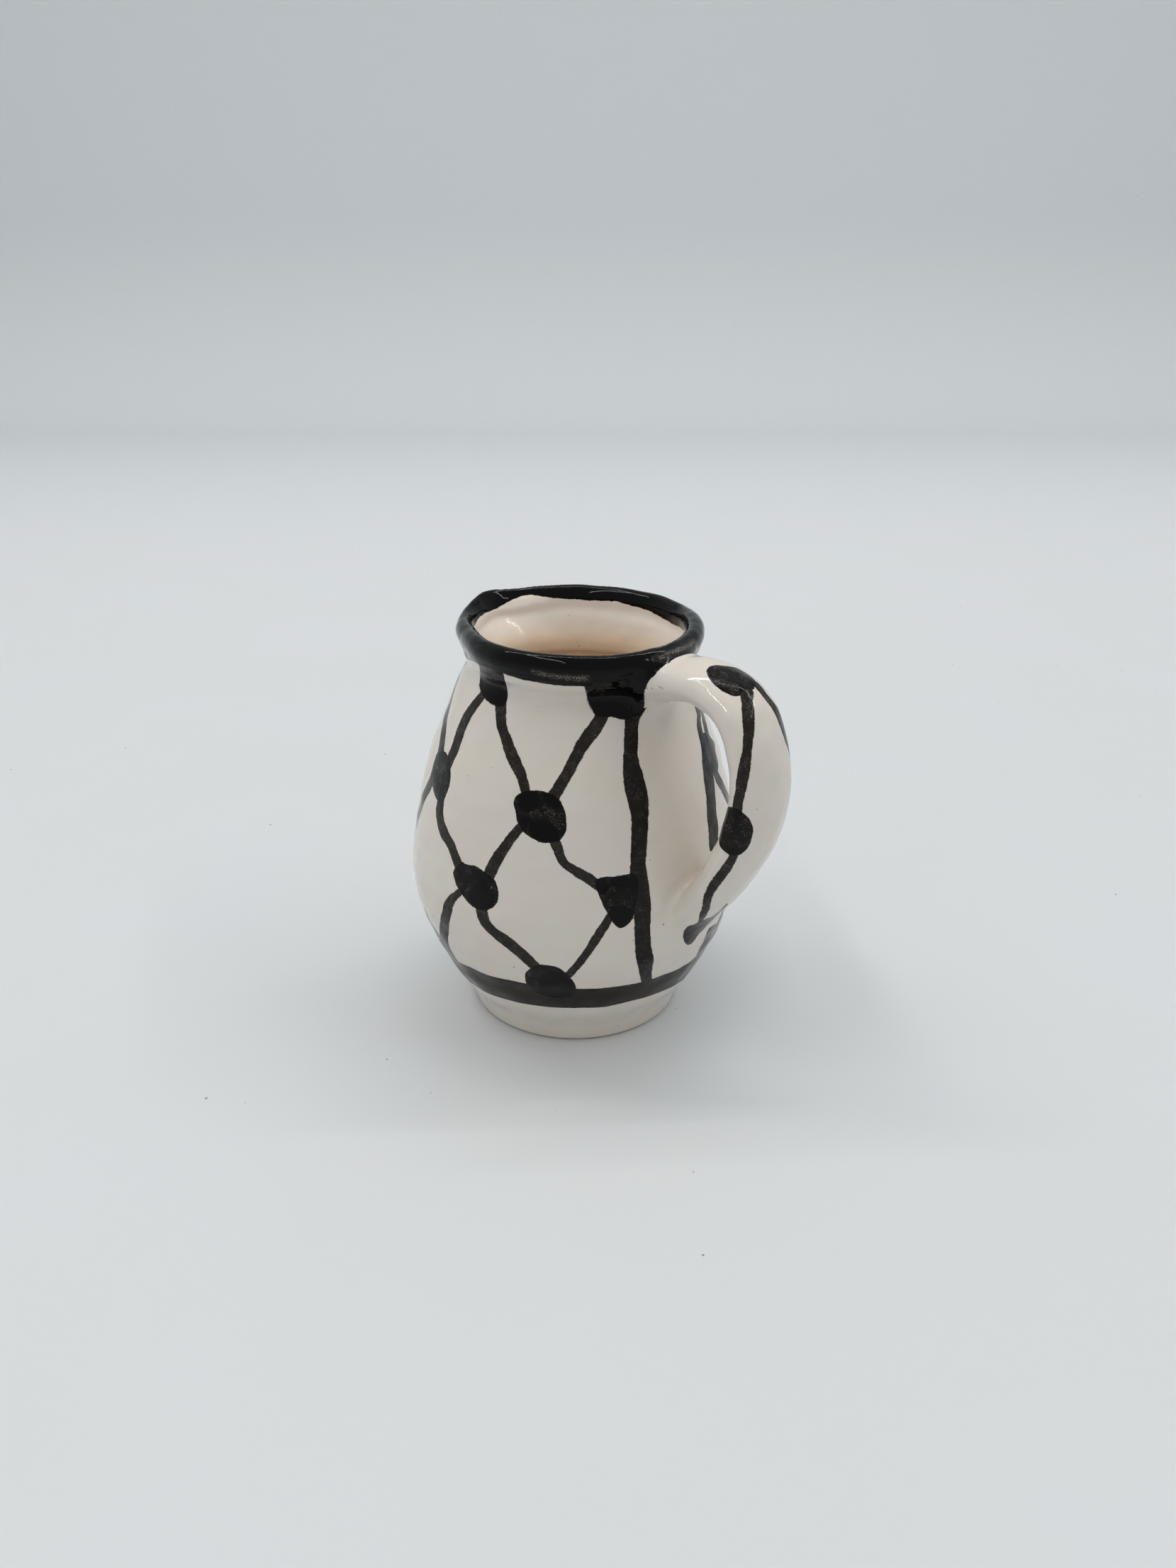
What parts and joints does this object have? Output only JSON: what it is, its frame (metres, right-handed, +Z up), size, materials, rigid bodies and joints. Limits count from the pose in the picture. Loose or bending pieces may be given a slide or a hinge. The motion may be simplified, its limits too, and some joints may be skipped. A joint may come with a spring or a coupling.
{
  "type": "milk jug",
  "caption": "Small bellied pottery jug with a low foot ring, thick rolled lip, pinched spout and a pulled strap handle, cream glazed with a dark painted diamond lattice.",
  "frame": {"origin": "on the table, under the middle of the bounding box", "axes": "+Z up, +X towards the handle, -X towards the spout, Y across the handle"},
  "size_m": [0.1075, 0.0854, 0.1055],
  "materials": {
    "cream_glaze": "glossy cream glaze with dark brushed lattice",
    "dark_glaze": "glossy near-black glaze"
  },
  "bodies": {
    "root": {"body": "cream_glaze", "foot_ring": "cream_glaze", "rim_roll": "dark_glaze", "handle": "cream_glaze", "upper_handle_luting": "cream_glaze", "lower_handle_luting": "cream_glaze"}
  },
  "joints": []
}
